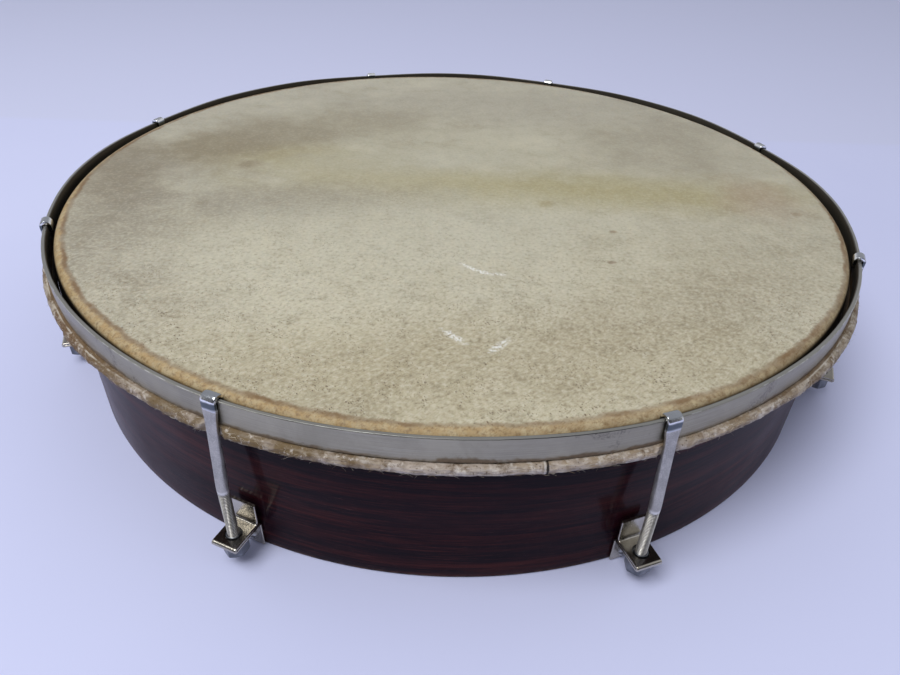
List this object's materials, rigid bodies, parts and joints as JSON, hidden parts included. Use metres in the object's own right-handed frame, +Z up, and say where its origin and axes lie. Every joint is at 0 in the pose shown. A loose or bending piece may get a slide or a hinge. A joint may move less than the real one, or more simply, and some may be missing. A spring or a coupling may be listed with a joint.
{
  "type": "frame drum",
  "caption": "Round tunable frame drum with a skin head on a lacquered wooden shell, a flat metal counter hoop, and tension hooks with nuts on folded brackets.",
  "frame": {"origin": "centre of the shell's bottom rim, on the surface that the drum stands on", "axes": "+Z up through the middle of the head; -Y faces the front, midway between two tension hooks"},
  "size_m": [0.3714, 0.3714, 0.0741],
  "materials": {
    "lacquered_wood": "dark red-brown, glossy lacquer",
    "skin": "natural rawhide, satin",
    "plain_wood": "unfinished",
    "hoop_metal": "satin nickel, worn",
    "hook_metal": "chrome crown, satin shank",
    "bracket_metal": "bright nickel plate",
    "nut_metal": "bright zinc plate",
    "screw_metal": "zinc plate"
  },
  "bodies": {
    "frame": {"shell": "lacquered_wood", "drumhead": "skin", "head_collar": "skin", "bracket_1": "bracket_metal", "bracket_2": "bracket_metal", "bracket_3": "bracket_metal", "bracket_4": "bracket_metal", "bracket_5": "bracket_metal", "bracket_6": "bracket_metal", "bracket_7": "bracket_metal", "bracket_8": "bracket_metal", "bracket_screws": "screw_metal", "screw_washers": "screw_metal", "screw_nuts": "screw_metal"},
    "hoop": {"counter_hoop": "hoop_metal", "flesh_hoop": "plain_wood", "head_lap": "skin", "tension_hook_1": "hook_metal", "tension_hook_2": "hook_metal", "tension_hook_3": "hook_metal", "tension_hook_4": "hook_metal", "tension_hook_5": "hook_metal", "tension_hook_6": "hook_metal", "tension_hook_7": "hook_metal", "tension_hook_8": "hook_metal"},
    "nut_1": {"tuning_nut_1": "nut_metal"},
    "nut_2": {"tuning_nut_2": "nut_metal"},
    "nut_3": {"tuning_nut_3": "nut_metal"},
    "nut_4": {"tuning_nut_4": "nut_metal"},
    "nut_5": {"tuning_nut_5": "nut_metal"},
    "nut_6": {"tuning_nut_6": "nut_metal"},
    "nut_7": {"tuning_nut_7": "nut_metal"},
    "nut_8": {"tuning_nut_8": "nut_metal"}
  },
  "joints": [
    {"name": "hoop_tension", "type": "slide", "parent": "frame", "child": "hoop", "axis": [0, 0, 1], "range_m": [-0.002, 0.0015], "deforming": ["head_collar"]},
    {"name": "nut_turn_1", "type": "hinge", "parent": "frame", "child": "nut_1", "pos_m": [0.1759, 0.06229, 0.007], "axis": [0, 0, 1], "range_deg": [-775, 1032]},
    {"name": "nut_turn_2", "type": "hinge", "parent": "frame", "child": "nut_2", "pos_m": [0.06382, 0.17535, 0.007], "axis": [0, 0, 1], "range_deg": [-775, 1032]},
    {"name": "nut_turn_3", "type": "hinge", "parent": "frame", "child": "nut_3", "pos_m": [-0.06229, 0.1759, 0.007], "axis": [0, 0, 1], "range_deg": [-775, 1032]},
    {"name": "nut_turn_4", "type": "hinge", "parent": "frame", "child": "nut_4", "pos_m": [-0.17421, 0.06687, 0.007], "axis": [0, 0, 1], "range_deg": [-775, 1032]},
    {"name": "nut_turn_5", "type": "hinge", "parent": "frame", "child": "nut_5", "pos_m": [-0.17535, -0.06382, 0.007], "axis": [0, 0, 1], "range_deg": [-775, 1032]},
    {"name": "nut_turn_6", "type": "hinge", "parent": "frame", "child": "nut_6", "pos_m": [-0.07141, -0.1724, 0.007], "axis": [0, 0, 1], "range_deg": [-775, 1032]},
    {"name": "nut_turn_7", "type": "hinge", "parent": "frame", "child": "nut_7", "pos_m": [0.06839, -0.17362, 0.007], "axis": [0, 0, 1], "range_deg": [-775, 1032]},
    {"name": "nut_turn_8", "type": "hinge", "parent": "frame", "child": "nut_8", "pos_m": [0.17362, -0.06839, 0.007], "axis": [0, 0, 1], "range_deg": [-775, 1032]}
  ],
  "couplings": [
    {"joint": "nut_turn_1", "follows": "hoop_tension", "rad_per_m": -8976},
    {"joint": "nut_turn_2", "follows": "hoop_tension", "rad_per_m": -8976},
    {"joint": "nut_turn_3", "follows": "hoop_tension", "rad_per_m": -8976},
    {"joint": "nut_turn_4", "follows": "hoop_tension", "rad_per_m": -8976},
    {"joint": "nut_turn_5", "follows": "hoop_tension", "rad_per_m": -8976},
    {"joint": "nut_turn_6", "follows": "hoop_tension", "rad_per_m": -8976},
    {"joint": "nut_turn_7", "follows": "hoop_tension", "rad_per_m": -8976},
    {"joint": "nut_turn_8", "follows": "hoop_tension", "rad_per_m": -8976}
  ]
}
